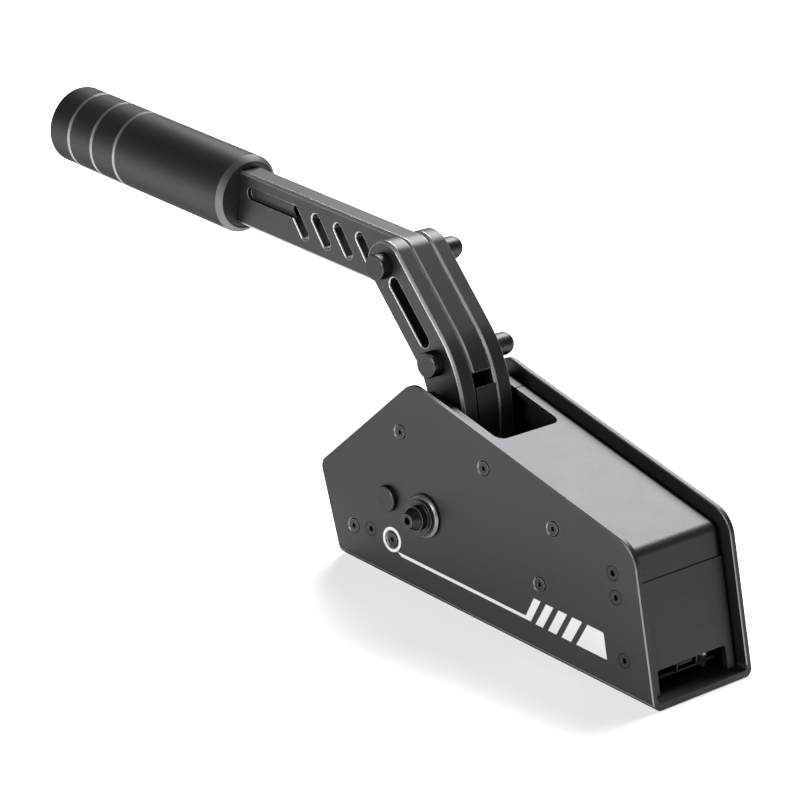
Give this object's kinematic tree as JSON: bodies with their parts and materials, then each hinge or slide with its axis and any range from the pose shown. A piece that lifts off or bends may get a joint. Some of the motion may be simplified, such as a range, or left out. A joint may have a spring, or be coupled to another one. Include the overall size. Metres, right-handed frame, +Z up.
{
  "type": "sim racing handbrake",
  "caption": "Desktop handbrake lever with a tubular grip on a bent flat bar, in a folded sheet housing with a spring-loaded load cell and controller board inside.",
  "frame": {"origin": "middle of the flat base, in the plane of its underside, which is the centre of the bolt pattern", "axes": "+X from the grip end to the cable end, +Y across from the left side to the right, +Z up"},
  "size_m": [0.4299, 0.0846, 0.1532],
  "materials": {
    "black_sheet": "fine-grain satin black coating",
    "black_aluminium": "satin black anodised",
    "black_steel": "black oxide",
    "dark_bearing": "turned, black anodised, with bright bevels",
    "axle_steel": "ground steel",
    "zinc_steel": "zinc plated",
    "sensor_steel": "satin stainless",
    "bronze": "plain turned",
    "black_rubber": "matt moulded",
    "black_plastic": "matt moulded",
    "circuit_board": "black solder resist"
  },
  "bodies": {
    "root": {"channel_shell": "black_sheet", "top_cover": "black_sheet", "rear_cover": "black_sheet", "front_panel": "black_sheet", "side_screws_left": "black_steel", "side_screws_right": "black_steel", "cover_nuts": "zinc_steel", "pivot_bearing_left": "dark_bearing", "pivot_bearing_right": "dark_bearing", "stop_rod": "black_steel", "stop_rod_nut": "black_steel", "stop_bumper": "black_rubber", "stop_rod_sleeves": "black_plastic", "foot_block": "black_aluminium", "base_nuts": "zinc_steel", "spring_block": "black_aluminium", "rod_bush": "bronze", "load_cell": "sensor_steel", "travel_spacer": "black_rubber", "return_spring": "axle_steel", "rebound_washer": "zinc_steel", "controller_board": "circuit_board", "board_standoffs": "bronze", "board_screws": "zinc_steel", "data_socket": "sensor_steel", "sensor_cable": "black_plastic"},
    "lever": {"pivot_axle": "axle_steel", "axle_nut": "axle_steel", "axle_collars": "dark_bearing", "arm_spacers": "zinc_steel", "lever_arm_left": "black_aluminium", "lever_arm_right": "black_aluminium", "pivot_block": "black_aluminium", "roller_pin": "axle_steel", "grip_bar": "black_aluminium", "grip_sleeve": "black_aluminium", "grip_bushings": "black_plastic", "clamp_bolts": "black_steel", "clamp_washers": "black_steel", "clamp_nuts": "black_steel"},
    "roller": {"push_roller": "axle_steel"},
    "plunger": {"plunger": "axle_steel", "retaining_nut": "axle_steel"}
  },
  "joints": [
    {"name": "lever_pull", "type": "hinge", "parent": "root", "child": "lever", "pos_m": [-0.0461, 0, 0.0382], "axis": [0, 1, 0], "range_deg": [0, 22], "stiffness_Nm_per_rad": 6, "springref_deg": -11.46},
    {"name": "roller_spin", "type": "hinge", "parent": "lever", "child": "roller", "pos_m": [-0.0503, 0, 0.0598], "axis": [0, 1, 0], "continuous": true},
    {"name": "plunger_slide", "type": "slide", "parent": "root", "child": "plunger", "axis": [1, 0, 0], "range_m": [0, 0.00841], "deforming": ["return_spring"]}
  ],
  "couplings": [
    {"joint": "plunger_slide", "follows": "lever_pull", "m_per_rad": 0.021865}
  ]
}
